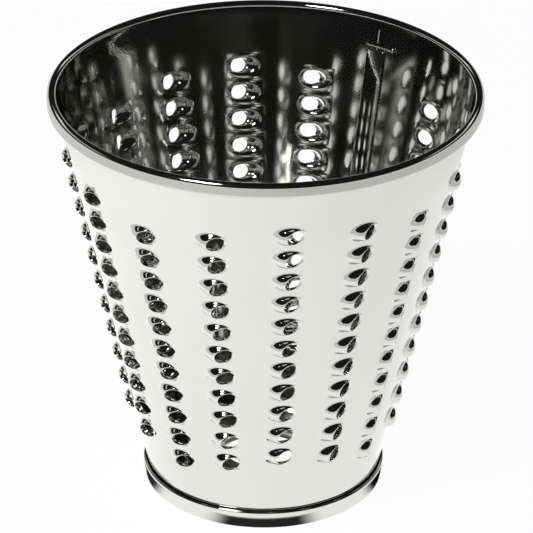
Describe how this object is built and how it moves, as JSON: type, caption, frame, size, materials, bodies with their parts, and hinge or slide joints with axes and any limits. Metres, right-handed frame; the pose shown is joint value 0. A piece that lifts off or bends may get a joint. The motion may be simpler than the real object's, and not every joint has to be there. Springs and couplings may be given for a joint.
{
  "type": "conical shredding drum",
  "caption": "Open conical drum of polished steel with staggered columns of raised shredding teeth, a rolled rim at its mouth and a notched drive plate in its narrow base.",
  "frame": {"origin": "centre of the standing ring's lower face, on the drum's axis", "axes": "+Z along the drum's axis towards its wide mouth; -Y is the front, and the lock seam is 145 degrees round from it towards +X"},
  "size_m": [0.105, 0.105, 0.1052],
  "materials": {
    "polished_steel": "mirror-polished stainless sheet",
    "satin_steel": "satin stainless plate and rivets"
  },
  "bodies": {
    "root": {"drum_wall": "polished_steel", "rolled_rim": "polished_steel", "side_seam": "polished_steel", "base_cap": "polished_steel", "drive_plate": "satin_steel", "drive_rivets": "satin_steel"}
  },
  "joints": []
}
